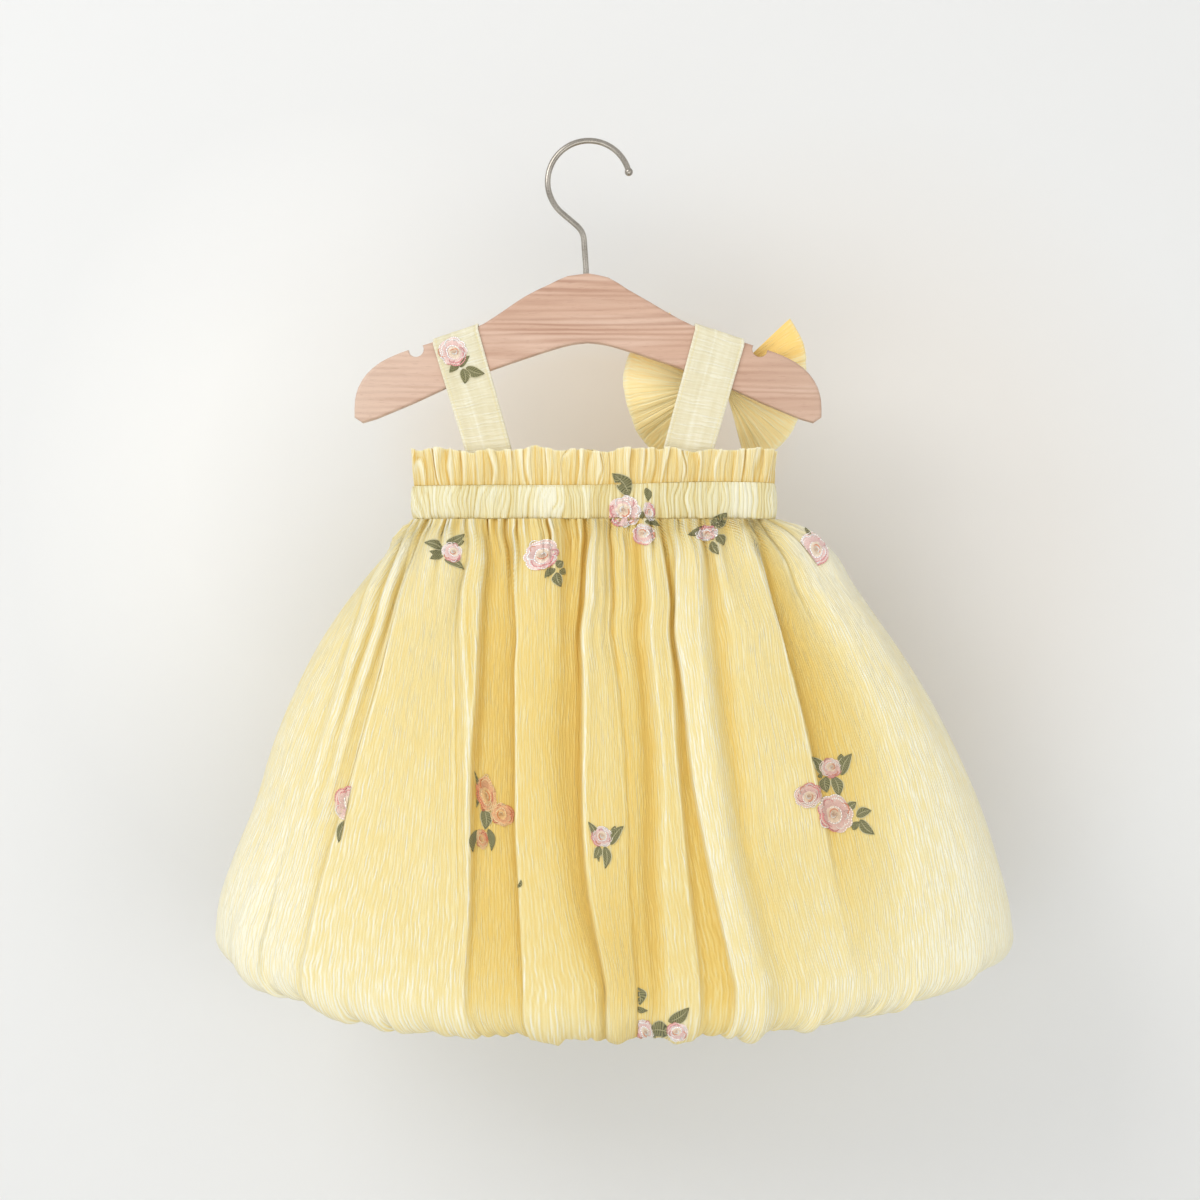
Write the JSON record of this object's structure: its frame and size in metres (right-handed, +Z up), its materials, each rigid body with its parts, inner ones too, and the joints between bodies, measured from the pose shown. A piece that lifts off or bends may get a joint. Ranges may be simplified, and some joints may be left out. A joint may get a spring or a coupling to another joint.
{
  "type": "sundress and hanger",
  "caption": "Toddler's crinkled sundress with wide straps, a frill over an elastic casing, a full bubble-hem skirt and a pleated bow, hung on a small wooden hanger with a bent wire hook.",
  "frame": {"origin": "the inside of the top of the hanger's hook, where a rail carries it", "axes": "+Z up. The back of the dress faces -Y and its bow is on the +Y side. +X is to the right of someone who looks at the back."},
  "size_m": [0.5148, 0.1494, 0.5788],
  "materials": {
    "skirt_cloth": "pale yellow crinkled cotton crepe, matt and slightly see-through",
    "casing_cloth": "the same cloth drawn up over pale elastic",
    "frill_cloth": "the same cloth, gathered",
    "strap_cloth": "the same cloth, doubled and pressed",
    "bow_cloth": "the same cloth, pleated",
    "board_wood": "rosy tan hardwood with a level grain, satin",
    "hook_wire": "drawn steel wire"
  },
  "bodies": {
    "root": {"skirt_back_left": "skirt_cloth", "skirt_back_right": "skirt_cloth", "skirt_front": "skirt_cloth", "hem_casing": "skirt_cloth", "casing_back": "casing_cloth", "casing_front": "casing_cloth", "frill_back": "frill_cloth", "frill_front": "frill_cloth", "strap_left": "strap_cloth", "strap_right": "strap_cloth", "bow_loop_left": "bow_cloth", "bow_loop_right": "bow_cloth", "bow_knot": "bow_cloth", "hanger_body": "board_wood", "hanger_hook": "hook_wire"}
  },
  "joints": []
}
